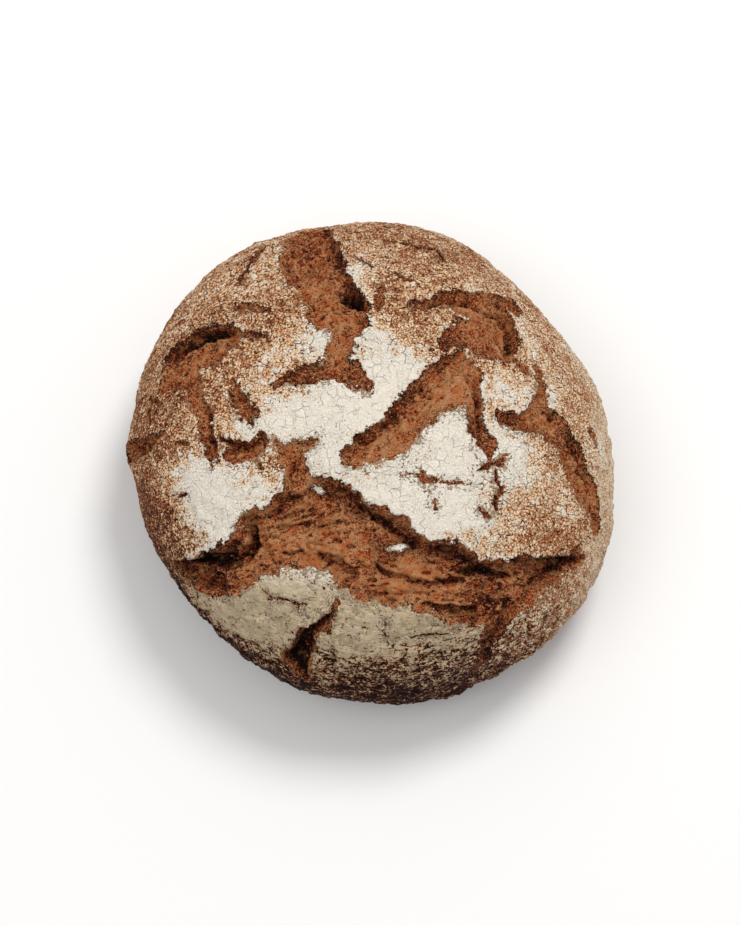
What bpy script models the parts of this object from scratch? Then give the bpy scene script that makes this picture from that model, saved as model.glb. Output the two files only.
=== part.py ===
"""Rye bread loaf: one round, hearth-baked loaf with a burst crust, standing on its flat base.

The loaf is one solid. Its plan is a slightly uneven oval and its side a flattened dome
that pulls in again towards the base. While it rose in the oven the crust burst into
plates, and the tears between them are carved as sloping hollows.

A place on the loaf is given as (east, north), millimetres measured over the crown from
its middle: east runs towards +X and north towards +Y. A loaf direction that leans
away from straight up by an angle of one radian lies CROWN_MAP millimetres out.
"""

import math

import bmesh
import bpy
import numpy as np
from mathutils import Vector, noise

MM = 0.001

# The loaf's form, millimetres.
HALF_LENGTH = 117.5
HALF_WIDTH = 108.0
LENGTH_TURN = math.radians(118.0)
WIDEST_HEIGHT = 38.0
CROWN_RISE = 62.0
BASE_DROP = 50.0
CROWN_POWER = 2.15
BASE_POWER = 3.0
CROWN_MAP = 110.0

# Hand shaping: (east, north, reach, height), a soft swelling or a flat where height is negative.
SWELLINGS = [
    (134, -87, 42, 3.4),
    (-155, -2, 16, 2.6),
    (-48, -165, 28, 2.4),
    (41, 154, 38, 1.8),
    (123, 103, 48, -1.8),
    (68, -145, 36, -1.6),
]
UNEVEN_REACH = 46.0
UNEVEN_HEIGHT = 1.6

# The tears: name, depth, lean, path. A path's points are (east, north, half width).
# Lean 1 puts the whole steep wall on the left of the path, -1 on its right, 0 on both.
TEARS = [
    ("north", 8.0, 0.6, [(-28, 108, 8), (-31, 100, 13), (-29, 90, 15), (-26, 70, 14), (-22, 60, 11),
                         (-16, 48, 13), (-10, 40, 8), (-12, 30, 5), (-15, 20, 4)]),
    ("arc", 3.5, 0.4, [(-38, 12, 2), (-32, 14, 4), (-15, 17, 5), (-8, 13, 4), (-2, 7, 2)]),
    ("north_east", 8.0, 0.8, [(19, 50, 2), (33, 55, 4), (42, 57, 8), (54, 56, 11), (60, 49, 11),
                              (60, 38, 10), (62, 30, 6)]),
    ("north_east_bare", 3.0, 0.8, [(36, 34, 5), (46, 40, 9), (54, 38, 12)]),
    ("middle", 7.5, -0.8, [(41, 25, 4), (38, 14, 11), (30, 5, 10), (21, 0, 8), (14, -8, 8),
                           (8, -16, 8), (-1, -21, 7), (-9, -24, 4)]),
    ("middle_spur", 6.0, 0.6, [(41, 14, 9), (44, 3, 6), (45, -6, 5), (46, -13, 5), (50, -19, 3)]),
    ("east", 7.0, 0.7, [(58, -4, 4), (66, -6, 5), (82, -2, 7), (90, -6, 8), (96, -14, 8),
                        (106, -30, 9), (118, -46, 6)]),
    ("east_spur", 4.0, 0.0, [(82, 22, 3), (83, 14, 3), (82, 6, 5)]),
    ("west", 8.5, 0.9, [(-106, 33, 3), (-98, 37, 8), (-88, 36, 10), (-78, 36, 11), (-70, 37, 9),
                        (-63, 38, 6), (-56, 38, 2)]),
    ("west_bare", 3.0, 0.3, [(-103, 24, 7), (-92, 24, 9), (-84, 12, 6), (-80, 3, 4), (-77, -10, 5),
                             (-76, -20, 3)]),
    ("west_small", 4.0, 0.5, [(-62, 12, 2), (-61, 8, 4), (-58, 3, 5), (-55, -2, 3)]),
    ("west_pocket", 5.0, 0.7, [(-63, -20, 5), (-56, -20, 5), (-51, -18, 4)]),
    ("left_edge", 5.0, 0.4, [(-152, -6, 6), (-140, -6, 7), (-128, -8, 6), (-114, -6, 4)]),
    ("fork", 5.0, 0.2, [(-36, -19, 5), (-36, -27, 6), (-34, -35, 6), (-30, -43, 8)]),
    ("front", 12.0, 0.7, [(-118, -82, 4), (-100, -85, 11), (-84, -84, 12), (-68, -77, 13),
                          (-50, -63, 15), (-30, -57, 18), (-20, -57, 20), (-10, -63, 21),
                          (0, -67, 21), (10, -72, 18), (20, -74, 15), (30, -77, 17), (40, -83, 16),
                          (50, -85, 16), (60, -85, 16), (70, -80, 14), (80, -77, 11),
                          (90, -75, 7), (108, -70, 3)]),
    ("front_right", 6.0, 0.5, [(60, -95, 9), (61, -104, 8), (62, -113, 6), (61, -131, 4)]),
    ("front_left", 9.0, 0.0, [(-22, -101, 3), (-27, -107, 3), (-35, -119, 6), (-42, -135, 9),
                              (-41, -142, 6)]),
]
WALL_RUN = 3.6
LIP_HEIGHT = 0.9
LIP_REACH = 5.0

# The mesh: sphere divisions before shaping, and the share of faces that is kept.
SPHERE_LEVEL = 7
FACES_KEPT = 0.121

CRUST_BROWN = (0.30, 0.145, 0.065, 1.0)
CRUST_ROUGHNESS = 0.9


def clear_scene():
    for thing in list(bpy.data.objects):
        bpy.data.objects.remove(thing, do_unlink=True)


def crown_angles(directions):
    """The lean from straight up and the compass turn of each direction, in radians."""
    lean = np.arctan2(np.hypot(directions[:, 0], directions[:, 1]), directions[:, 2])
    turn = np.arctan2(directions[:, 1], directions[:, 0])
    return lean, turn


def plain_form(lean, turn):
    """Points of the smooth loaf: an oval plan over a dome and a tighter underside."""
    power = np.where(lean < math.pi / 2, CROWN_POWER, BASE_POWER)
    height = np.where(lean < math.pi / 2, CROWN_RISE, BASE_DROP)
    side, up = np.sin(lean), np.cos(lean)
    reach = (np.abs(side) ** power + np.abs(up) ** power) ** (-1.0 / power)
    along = np.cos(turn - LENGTH_TURN) / HALF_LENGTH
    across = np.sin(turn - LENGTH_TURN) / HALF_WIDTH
    radius = reach * side / np.hypot(along, across)
    return np.column_stack(
        [radius * np.cos(turn), radius * np.sin(turn), WIDEST_HEIGHT + height * reach * up]
    )


def swelling_height(east, north):
    total = np.zeros_like(east)
    for place_east, place_north, reach, height in SWELLINGS:
        far = np.hypot(east - place_east, north - place_north) / reach
        total += height * np.exp(-(far**2))
    return total


def unevenness(points):
    return np.array([UNEVEN_HEIGHT * noise.noise(Vector(p / UNEVEN_REACH)) for p in points])


def path_offset(east, north, start, end):
    """How far off one stretch of a path each place is, in half widths, minus to its right."""
    run = np.subtract(end[:2], start[:2])
    rel_east, rel_north = east - start[0], north - start[1]
    along = np.clip((rel_east * run[0] + rel_north * run[1]) / (run @ run), 0.0, 1.0)
    far = np.hypot(rel_east - along * run[0], rel_north - along * run[1])
    side = np.where(run[0] * rel_north - run[1] * rel_east > 0, 1.0, -1.0)
    half_width = start[2] + along * (end[2] - start[2])
    return side * far / half_width, far - half_width


def tear_relief(east, north):
    """How deep the tears cut, and how near each place outside them is to their edge."""
    relief = np.zeros_like(east)
    clear = np.full_like(east, np.inf)
    for _, depth, lean, path in TEARS:
        offset = np.full_like(east, np.inf)
        edge = np.full_like(east, np.inf)
        for start, end in zip(path, path[1:]):
            stretch, beyond = path_offset(east, north, start, end)
            offset = np.where(np.abs(stretch) < np.abs(offset), stretch, offset)
            edge = np.minimum(edge, beyond)
        inside = np.clip(offset, -1.0, 1.0)
        slope = 1.0 - abs(lean) * (1.0 - inside * math.copysign(1.0, lean)) / 2.0
        wall = np.clip(-edge / WALL_RUN, 0.0, 1.0)
        relief = np.maximum(relief, depth * slope * wall * wall * (3.0 - 2.0 * wall))
        clear = np.minimum(clear, edge)
    return relief, clear


def outward(points):
    """Unit outward direction at points of the plain form, taken as a flattened ball."""
    out = points - np.array([0.0, 0.0, WIDEST_HEIGHT])
    out[:, 2] *= (HALF_WIDTH / CROWN_RISE) ** 2
    return out / np.linalg.norm(out, axis=1)[:, None]


def shape_loaf(mesh):
    directions = np.array([v.co.normalized() for v in mesh.verts])
    lean, turn = crown_angles(directions)
    east, north = CROWN_MAP * lean * np.cos(turn), CROWN_MAP * lean * np.sin(turn)
    points = plain_form(lean, turn)
    relief, clear = tear_relief(east, north)
    lip = LIP_HEIGHT * np.exp(-((np.maximum(clear, 0.0) / LIP_REACH) ** 2)) * (clear > 0)
    lift = swelling_height(east, north) + unevenness(points) + lip - relief
    points += outward(points) * lift[:, None]
    for vert, point in zip(mesh.verts, points):
        vert.co = Vector(point * MM)


def thin_out(mesh):
    """The same shape with fewer faces, most of them left along the tears."""
    rough = bpy.data.meshes.new("rough loaf")
    mesh.to_mesh(rough)
    mesh.free()
    holder = bpy.data.objects.new("rough loaf", rough)
    bpy.context.scene.collection.objects.link(holder)
    thinner = holder.modifiers.new("fewer faces", "DECIMATE")
    thinner.ratio = FACES_KEPT
    ready = holder.evaluated_get(bpy.context.evaluated_depsgraph_get())
    mesh = bmesh.new()
    mesh.from_mesh(ready.to_mesh())
    bpy.data.objects.remove(holder, do_unlink=True)
    bpy.data.meshes.remove(rough)
    return mesh


def cut_base_flat(mesh):
    """The loaf stood on the hearth: everything below z = 0 is sliced away and closed."""
    everything = mesh.verts[:] + mesh.edges[:] + mesh.faces[:]
    cut = bmesh.ops.bisect_plane(
        mesh, geom=everything, plane_co=(0, 0, 0), plane_no=(0, 0, 1), clear_inner=True
    )
    rim = [part for part in cut["geom_cut"] if isinstance(part, bmesh.types.BMEdge)]
    bmesh.ops.holes_fill(mesh, edges=rim, sides=0)
    bmesh.ops.recalc_face_normals(mesh, faces=mesh.faces)


def centre_on_base(mesh):
    """Moves the loaf so that the origin is under the middle of its box."""
    corners = np.array([v.co for v in mesh.verts])
    middle = (corners.min(axis=0) + corners.max(axis=0)) / 2.0
    bmesh.ops.translate(mesh, vec=Vector((-middle[0], -middle[1], 0.0)), verts=mesh.verts)


def crust_material():
    crust = bpy.data.materials.new("crust")
    crust.use_nodes = True
    surface = crust.node_tree.nodes["Principled BSDF"]
    surface.inputs["Base Color"].default_value = CRUST_BROWN
    surface.inputs["Roughness"].default_value = CRUST_ROUGHNESS
    surface.inputs["Metallic"].default_value = 0.0
    return crust


def build_loaf(collection):
    mesh = bmesh.new()
    bmesh.ops.create_icosphere(mesh, subdivisions=SPHERE_LEVEL, radius=1.0)
    shape_loaf(mesh)
    mesh = thin_out(mesh)
    cut_base_flat(mesh)
    centre_on_base(mesh)
    loaf = bpy.data.objects.new("loaf", bpy.data.meshes.new("loaf"))
    mesh.to_mesh(loaf.data)
    mesh.free()
    loaf.data.materials.append(crust_material())
    loaf.data.shade_smooth()
    loaf.data.set_sharp_from_angle(angle=math.radians(40.0))
    collection.objects.link(loaf)


clear_scene()
bread = bpy.data.collections.new("rye bread loaf")
bpy.context.scene.collection.children.link(bread)
build_loaf(bread)
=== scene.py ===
import math
from types import SimpleNamespace

import bpy
import numpy as np
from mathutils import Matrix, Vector


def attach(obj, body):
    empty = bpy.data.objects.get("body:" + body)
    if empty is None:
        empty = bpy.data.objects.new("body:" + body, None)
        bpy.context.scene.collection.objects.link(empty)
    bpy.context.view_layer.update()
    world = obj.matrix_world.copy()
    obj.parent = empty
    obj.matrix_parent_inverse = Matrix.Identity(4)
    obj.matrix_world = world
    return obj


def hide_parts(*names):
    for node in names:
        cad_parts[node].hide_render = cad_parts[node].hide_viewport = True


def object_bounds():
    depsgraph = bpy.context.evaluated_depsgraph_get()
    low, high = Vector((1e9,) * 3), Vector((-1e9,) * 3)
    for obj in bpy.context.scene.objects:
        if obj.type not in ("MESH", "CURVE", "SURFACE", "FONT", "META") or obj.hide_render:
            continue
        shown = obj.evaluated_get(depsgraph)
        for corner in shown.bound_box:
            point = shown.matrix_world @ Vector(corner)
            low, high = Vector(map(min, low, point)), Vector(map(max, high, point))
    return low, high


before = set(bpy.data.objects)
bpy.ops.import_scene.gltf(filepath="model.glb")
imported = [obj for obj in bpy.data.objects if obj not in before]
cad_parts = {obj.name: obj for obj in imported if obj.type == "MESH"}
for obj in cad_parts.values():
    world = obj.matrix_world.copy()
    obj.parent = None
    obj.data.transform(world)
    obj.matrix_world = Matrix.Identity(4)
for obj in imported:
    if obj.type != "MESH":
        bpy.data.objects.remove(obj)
CAD_LOW, CAD_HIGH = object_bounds()

MM = 0.001

# ---------------------------------------------------------------------------
# The loaf's form, millimetres. A place on the crown is (east, north), measured
# over the crust from the middle of the top.
# ---------------------------------------------------------------------------
HALF_LENGTH = 117.5
HALF_WIDTH = 108.0
LENGTH_TURN = math.radians(118.0)
WIDEST_HEIGHT = 38.0
CROWN_RISE = 62.0
BASE_DROP = 50.0
CROWN_POWER = 2.15
BASE_POWER = 3.0
CROWN_MAP = 110.0
SKIN_BELOW = math.radians(140)

# Shaping: east, north, reach, height.
SWELLINGS = [
    (134, -87, 42, 3.4),
    (-155, -2, 16, 2.6),
    (-48, -165, 28, 2.4),
    (41, 154, 38, 1.8),
    (-66, 118, 8, 1.4),
    (123, 103, 48, -1.8),
    (68, -145, 36, -1.6),
]

# The tears: name, depth, lean, path of (east, north, half width).
# Lean 1 puts the steep wall on the left of the path, -1 on its right.
TEARS = [
    ("north", 5.5, 0.6, [(-27, 112, 6), (-30, 104, 11), (-31, 97, 13.5), (-29, 88, 15), (-27, 78, 14.5),
                         (-26, 70, 14), (-22, 61, 11), (-18, 53, 13), (-15, 46, 14), (-10, 40, 9),
                         (-12, 34, 6.5), (-12, 28, 5), (-15, 21, 4.5)]),
    ("arc", 2.6, 0.5, [(-42, 11, 0.8), (-33, 14, 3.5), (-24, 15, 4), (-15, 17, 5), (-8, 13, 4.5),
                       (-3, 8, 3), (0, 4, 1)]),
    ("north east", 5.0, 0.8, [(16, 50, 0.8), (25, 53, 3), (33, 55.5, 4.5), (42, 58, 8), (52, 57, 11),
                              (60, 52, 12), (61, 44, 11), (61, 36, 9), (63, 29, 4)]),
    ("north east rise", 2.0, 0.6, [(44, 65, 1.5), (56, 67, 2.5), (68, 68, 4), (76, 66, 5)]),
    ("north east bare", 2.0, 0.7, [(33, 32, 3), (40, 37, 6), (48, 38, 10), (54, 36, 11)]),
    ("north east end", 3.0, 0.0, [(67, 27, 2.5), (72, 23, 3), (75, 20, 1)]),
    ("middle", 5.5, -0.7, [(41, 26, 3.5), (39, 20, 8), (36, 12, 12), (29, 5, 10), (21, 0, 8.5), (14, -8, 8),
                           (8, -16, 8.5), (-1, -21, 7), (-8, -24, 4.5), (-11, -26, 2)]),
    ("middle spur", 2.8, 0.5, [(43, 16, 7), (44, 6, 6), (45, -4, 4.5), (46, -11, 4.5), (49, -17, 4.5),
                               (51, -23, 1.2)]),
    ("right hairline", 2.0, 0.3, [(13, -31, 0.5), (18, -31, 0.9), (23, -34, 1.8), (28, -34, 1.0),
                                  (33, -35, 1.1), (41, -35.5, 0.4)]),
    ("right nick", 1.2, 0.0, [(26, -40.5, 0.7), (26.5, -44, 0.7)]),
    ("right scratch", 1.2, 0.0, [(45.5, -45, 0.5), (48, -47, 0.8), (50.5, -49.5, 0.4)]),
    ("small east", 1.8, 0.0, [(58.5, -21.5, 0.8), (55.5, -25, 1.8), (50, -27, 1.7), (44, -28, 0.6)]),
    ("small east drop", 1.3, 0.0, [(54.5, -29, 0.6), (54.5, -33, 0.9), (56.5, -38, 0.7), (53.5, -42, 1.0),
                                   (53.5, -46, 0.5)]),
    ("east", 4.2, 0.5, [(59, -4, 3.5), (66, -5.5, 5), (74, -4, 6), (82, -2, 8), (89, -5, 8.5),
                        (95, -12, 8.5), (100, -20, 8.5), (105, -28, 9), (111, -36, 8.5), (117, -45, 6),
                        (121, -54, 4)]),
    ("east spur", 2.4, 0.0, [(81, 24, 2.5), (82.5, 17, 3.5), (82, 10, 4), (80, 5, 5)]),
    ("west", 6.0, 0.8, [(-107, 32, 2.5), (-99, 36.5, 8), (-89, 36, 11), (-78, 36, 12), (-70, 37.5, 10),
                        (-64, 37.5, 6.5), (-58, 38, 3), (-53, 36.5, 1), (-47, 35.5, 0.7)]),
    ("west bare", 2.4, 0.3, [(-106, 23, 5), (-97, 25, 8), (-90, 23, 9), (-86, 16, 6.5), (-83, 9, 5.5),
                             (-80, 3, 4.5), (-77, -2, 3.2)]),
    ("west drop", 2.6, 0.5, [(-80, -6, 3.5), (-77, -10, 5), (-76, -16, 4), (-76, -21, 3), (-77, -26, 0.8)]),
    ("west small", 2.4, 0.5, [(-63, 15, 1.5), (-62, 9, 3.2), (-58.5, 4, 4.8), (-55.5, -1, 3.2),
                              (-54.5, -7, 0.9)]),
    ("west pocket", 3.8, 0.7, [(-64, -20.5, 4.8), (-57, -20, 5), (-51, -18.5, 4.6)]),
    ("pocket crack", 1.5, 0.0, [(-70, -11, 0.5), (-66, -14, 1.3), (-63, -17, 1.5)]),
    ("pocket dot", 1.5, 0.0, [(-51, -27, 1.2), (-49, -28, 1.2)]),
    ("left edge", 5.0, 0.4, [(-158, -6, 6), (-142, -6, 6.8), (-128, -8, 6), (-115, -6, 4), (-108, -5, 1.5)]),
    ("left fleck", 2.0, 0.0, [(-119, 18, 2), (-111, 15, 3), (-107, 13, 1.5)]),
    ("left fleck down", 1.6, 0.0, [(-121, 12, 1.5), (-119, 5, 1.8)]),
    ("left dash", 1.6, 0.0, [(-97, -12, 1.2), (-90, -12.5, 2)]),
    ("left low dash", 1.4, 0.0, [(-100, -39, 0.8), (-94, -38.5, 1.5)]),
    ("upper left", 3.0, 0.5, [(-66, 51, 1), (-61, 54, 2.6), (-56, 52, 2.4), (-51, 49.5, 2), (-45, 48, 0.7)]),
    ("upper left streak", 1.4, 0.0, [(-57, 103, 3), (-58, 94, 2.2), (-60, 86, 1.8), (-62, 77, 1.2),
                                     (-63, 70, 0.6)]),
    ("top right line", 1.2, 0.0, [(8, 99, 0.7), (17, 97, 1.6), (26, 95, 1.4), (34, 96, 1.6), (38, 88, 0.6)]),
    ("top right dash", 1.2, 0.0, [(9, 69, 0.8), (14, 68, 1.1), (19, 66, 0.6)]),
    ("top notch", 1.4, 0.0, [(-6, 79, 0.6), (-2, 75, 1.2), (0, 71, 0.6)]),
    ("top strip", 1.4, 0.0, [(5, 59, 1.6), (5, 54, 2.2), (3, 50, 3)]),
    ("fork", 4.0, 0.0, [(-44.5, -17, 1), (-40, -18.5, 2.5), (-34, -20, 4), (-28, -18.5, 2.6),
                        (-25, -16.5, 1.2)]),
    ("fork stem", 4.0, -0.3, [(-36, -20, 5), (-36, -27, 6.5), (-34, -34, 6), (-30, -42, 8)]),
    ("front", 8.5, 0.45, [(-124, -80, 3), (-112, -84, 7), (-100, -86, 11), (-84, -84, 12.5), (-76, -82, 13),
                          (-68, -77, 13), (-60, -72, 13.5), (-50, -63, 15.5), (-40, -60, 14.5),
                          (-30, -57, 19), (-20, -56, 21), (-10, -60, 19.5), (0, -67, 22), (10, -72, 19),
                          (20, -74, 15), (30, -77, 18), (40, -83, 16.5), (50, -86, 17.5), (60, -86, 16.5),
                          (70, -80, 14), (80, -77, 11), (90, -75, 7), (100, -72, 5.5), (110, -70, 3)]),
    ("front right", 5.0, 0.5, [(60, -95, 8), (61, -104, 7), (62, -112, 5.2), (62, -121, 4.2),
                               (61.5, -130, 3.4), (60, -139, 2)]),
    ("front left", 9.0, 0.0, [(-16, -89, 1), (-17.5, -94, 1.6), (-20, -98, 2.6), (-22.5, -102, 3.6),
                              (-27, -107, 3.6), (-32, -112, 4.8), (-35, -119, 6), (-37, -126, 6.5),
                              (-42, -135, 9), (-41, -142, 6), (-39, -148, 3)]),
    ("front left side", 3.0, 0.0, [(-21, -100, 3), (-21, -107, 2.5)]),
    ("front star", 1.0, 0.0, [(-53, -89.5, 0.5), (-50, -91, 0.9), (-44, -91.5, 0.6), (-40, -93, 0.7),
                              (-36, -95, 0.9), (-32, -94, 0.5)]),
    ("front star ray", 1.0, 0.0, [(-50, -91, 0.8), (-52, -94, 0.4)]),
    ("front star tail", 1.0, 0.0, [(-36, -95, 0.8), (-36, -98.5, 0.4)]),
    ("front upright", 1.0, 0.0, [(8, -97, 0.5), (7.5, -101, 0.8), (5.5, -105, 0.7), (7, -109, 0.5)]),
    ("front level", 0.8, 0.0, [(19, -109, 0.5), (26, -108.5, 0.7), (31, -107, 0.7), (36, -107, 0.4)]),
    ("right rim line", 2.0, 0.0, [(118, -2, 2.5), (121, -8, 1.5)]),
    ("right low dark", 2.5, 0.0, [(86, -72, 2), (90, -71, 2.2)]),
    ("right low dark far", 2.5, 0.0, [(101, -66, 2.5), (106, -64, 2.2)]),
    ("right front dot", 2.0, 0.0, [(96, -112, 1.4), (96, -114, 1.4)]),
]

# Crevices inside the tears: depth, path of (east, north, half width).
CREASES = [
    (4.0, [(3, -72, 1.5), (11, -77, 3), (20, -80, 3), (28, -80.5, 3), (36, -79, 3.2), (42, -78, 2)]),
    (4.0, [(42, -74, 2), (48, -74.5, 3.5), (55, -76, 3), (60, -78.5, 2.4), (67, -79, 2)]),
    (3.5, [(26, -60, 3), (34, -62, 3.5)]),
    (4.0, [(-22, -71, 3), (-14, -73, 4), (-9, -77, 3), (-12, -83, 2.5)]),
    (2.5, [(-41, -69, 1.6), (-34, -69, 1.6)]),
    (6.5, [(-108, -80, 3), (-94, -77, 5), (-80, -77, 6), (-68, -73, 5.5), (-59, -66, 4), (-57, -58, 3)]),
    (2.5, [(-6, -88, 1.6), (2, -90, 1.6), (10, -88.5, 1.4)]),
    (3.5, [(26, -91, 2.5), (34, -94, 3), (42, -95, 3), (50, -96, 3.5)]),
    (2.5, [(67, -92, 3), (66, -102, 3), (65, -113, 2.5)]),
    (5.0, [(-12, 56, 5), (-7, 53, 5)]),
    (3.0, [(-13, 88, 3), (-12, 76, 3), (-11, 64, 3)]),
    (2.5, [(-39, 82, 3), (-37, 77, 3)]),
    (2.5, [(-28, 94, 3), (-24, 92, 2.5)]),
    (3.5, [(27, 55, 2), (38, 59, 3.5), (48, 61, 4), (58, 59, 3), (66, 56, 3), (68, 46, 3), (67, 36, 2.5)]),
    (2.0, [(61, 45, 2), (61, 38, 2)]),
    (3.0, [(8, -3, 2.5), (10, -8, 3.5), (3, -12, 2.5), (-5, -17, 2.5)]),
    (2.5, [(22, 15, 2.5), (27, 20, 2.5), (34, 23, 2)]),
    (2.5, [(46, 16, 2.5), (47, 8, 2.5), (48, -2, 2), (49, -10, 2)]),
    (5.0, [(-102, 35, 4), (-95, 40, 4), (-87, 43, 4), (-79, 44, 3), (-71, 45, 2)]),
    (2.0, [(-77, 0, 2), (-76, -10, 3)]),
    (2.5, [(84, 5, 3), (88, 1, 3)]),
    (2.5, [(101, -9, 2.5), (104, -15, 2.5), (109, -22, 3), (114, -30, 3)]),
    (2.0, [(-62, -17, 1.6), (-52, -15, 1.8)]),
    (3.0, [(-40, -130, 5), (-42, -137, 6)]),
    (3.0, [(-8, -40, 2.5), (0, -46.5, 2.5), (9, -54, 2.5), (19, -62, 2.5)]),
    (2.5, [(-28, -32, 2), (-20, -36, 2.2), (-12, -38, 2.2)]),
    (2.0, [(-38, -33, 2.2), (-36, -27, 1.5)]),
]

# Bits of crust left standing inside the tears: east, north, half size east, half size north, flour.
ISLANDS = [
    (-24, -39, 2.4, 1.7, 0.9),
    (12, -62.5, 6.5, 1.7, 0.66),
    (-13, -85, 3.0, 1.3, 0.6),
    (24, -12, 2.5, 1.2, 0.7),
    (52, -108, 2.2, 2.2, 0.35),
]

# The torn crust, millimetres: the thickness of its skin, and the lip that curls up beside a tear.
SKIN_THICK = 1.3
LIP_HEIGHT = 1.2
LIP_REACH = 3.5

# A tear with a smaller half width than this is a crack, with a steeper side and fewer chips.
NARROW = 2.6
NARROW_RUN = 1.2
NARROW_CHIPS = 0.35
WIDE_RUN = 2.8

# A deeper tear than this has a floor that rises and falls along it.
WIDE_TEAR_DEPTH = 7.0

# Sizes of the chips along torn edges, and how much shallower a tear is under an island.
LARGE_CHIP = 5.0
SMALL_CHIP = 2.2
ISLAND_RISE = 0.35

# Distances that stand for "nowhere near a tear", and how far round a path its tear is worked out.
FAR_OFF = 99.0
BEYOND_EDGE = 30.0
TEAR_MARGIN = 14.0

# Rounds of evening out over the mesh, for the hollows of its grain, its tear walls and its plates.
GRAIN_ROUNDS = 10
WALL_ROUNDS = 10
PLATE_ROUNDS = 130

# Flour: east, north, reach east, reach north, more or less flour.
PLAIN_FLOUR = 0.55
DUSTINGS = [
    (-25, -2, 27, 14, 0.75),
    (-45, -8, 10, 10, 0.3),
    (8, 12, 20, 18, 0.75),
    (2, 0, 12, 12, 0.6),
    (-20, -25, 11, 9, 0.7),
    (34, -17, 16, 12, 0.8),
    (10, -40, 24, 13, 0.75),
    (38, -50, 16, 12, 0.4),
    (-78, -44, 17, 20, 1.0),
    (-66, -62, 10, 8, 0.8),
    (-66, 84, 34, 30, 0.1),
    (70, -24, 18, 20, 0.1),
    (-40, 28, 22, 10, 0.2),
    (-22, 30, 10, 8, 0.3),
    (-5, 66, 8, 12, 0.35),
    (62, -22, 13, 18, 0.38),
    (62, 8, 12, 9, 0.3),
    (88, 9, 9, 7, 0.4),
    (78, 42, 8, 20, 0.28),
    (0, 34, 10, 7, 0.28),
    (-57, -9, 8, 5, 0.55),
    (-90, -27, 14, 8, 0.25),
    (-50, -40, 14, 10, 0.45),
    (46, -21, 14, 12, 0.3),
    (-45, -98, 55, 22, 0.8),
    (15, -101, 36, 15, 0.85),
    (-8, -112, 30, 10, 0.3),
    (84, -96, 12, 10, 0.1),
    (-125, 5, 22, 50, -0.1),
    (-130, -50, 26, 26, -0.1),
    (108, -52, 14, 14, -0.2),
    (86, -60, 14, 8, -0.2),
    (30, 96, 34, 10, -0.12),
    (8, 57, 5, 8, -0.15),
    # The next patch lightens the right rim: partly more flour, partly painted light on that side.
    (146, -20, 26, 60, 0.12),
    (120, 60, 40, 34, 0.05),
    (-74, -110, 32, 20, 0.5),
    (26, -44, 16, 12, 0.6),
    (96, -96, 20, 16, -0.04),
    (96, -52, 22, 22, 0.08),
]

# Ochre against red-brown in the torn crumb: east, north, reach, shift. The large negative shifts are painted
# shade, darkening the deep pockets and splits nearly to black.
TOASTS_AND_SHADE = [
    (-32, -70, 16, 0.35),
    (15, -84, 16, 0.4),
    (28, -70, 10, 0.3),
    (-66, -78, 8, 0.3),
    (-98, -76, 17, -1.5),
    (-84, -68, 14, -0.9),
    (-38, -120, 15, -1.1),
    (-40, -140, 14, -1.2),
    (60, -130, 11, -0.9),
    (100, -74, 16, -0.5),
    (-8, -76, 30, 0.25),
    (-92, 41, 11, -0.6),
    (56, -92, 22, -0.6),
    (66, -120, 18, -0.9),
    (50, 45, 18, 0.25),
    (33, 8, 14, 0.35),
    (-36, 85, 10, -0.1),
    (-95, 25, 18, -0.25),
    (5, -18, 12, 0.35),
    (-14, 38, 12, 0.35),
    (-26, 80, 26, -0.4),
    (0, -55, 14, -0.15),
]


# ---------------------------------------------------------------------------
# Noise on points given in millimetres
# ---------------------------------------------------------------------------
PRIMES = [np.uint32(prime) for prime in (374761393, 668265263, 2246822519, 3266489917)]
WORDS = 2**32


def hashed(cells, seed):
    """A fixed number from 0 to 1 for each whole-numbered cell; each seed gives other numbers."""
    east, north, up = (cells[:, i].astype(np.int64).astype(np.uint32) for i in range(3))
    value = east * PRIMES[0] + north * PRIMES[1] + up * PRIMES[2]
    value += np.uint32(seed * int(PRIMES[3]) % WORDS)
    value = (value ^ (value >> np.uint32(15))) * PRIMES[2]
    value = (value ^ (value >> np.uint32(13))) * PRIMES[3]
    return ((value ^ (value >> np.uint32(16))) / float(WORDS)).astype(np.float32)


def soft_noise(points, reach, seed):
    """Smooth noise from -1 to 1 with lumps about one reach across."""
    place = points / reach + 17.31 * seed
    cell = np.floor(place)
    part = place - cell
    part = part * part * part * (part * (part * 6 - 15) + 10)
    total = np.zeros(len(points), np.float32)
    for corner in np.ndindex(2, 2, 2):
        weight = np.prod(np.where(corner, part, 1 - part), axis=1)
        total += weight * hashed(cell + np.array(corner), seed)
    return total * 2 - 1


def cell_noise(points, reach, seed):
    """Distances to the nearest and the next nearest of scattered points, and the nearest one's number."""
    place = points / reach + 9.17 * seed
    cell = np.floor(place)
    nearest = np.full(len(points), 9.0, np.float32)
    second = nearest.copy()
    number = np.zeros(len(points), np.float32)
    for step in np.ndindex(3, 3, 3):
        there = cell + np.array(step) - 1
        spot = there + np.column_stack([hashed(there, seed + k) for k in range(3)])
        far = np.linalg.norm(place - spot, axis=1).astype(np.float32)
        closer = far < nearest
        second = np.where(closer, nearest, np.minimum(second, far))
        number = np.where(closer, hashed(there, seed + 3), number)
        nearest = np.where(closer, far, nearest)
    return nearest, second, number


def toward_chip(east, north, reach, seed):
    """The way from each place to the middle of the chip that it lies in, on the crown's map."""
    place = np.column_stack([east / reach + 31.7, north / reach + 12.9, np.zeros_like(east)])
    cell = np.floor(place)
    nearest = np.full(len(east), 9.0)
    way = np.zeros((len(east), 2))
    for step in np.ndindex(3, 3):
        there = cell + np.array([*step, 1]) - 1
        spot = there[:, :2] + np.column_stack([hashed(there, seed), hashed(there, seed + 1)])
        gap = spot - place[:, :2]
        far = np.hypot(*gap.T)
        way = np.where((far < nearest)[:, None], gap, way)
        nearest = np.minimum(nearest, far)
    return way * reach


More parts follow.
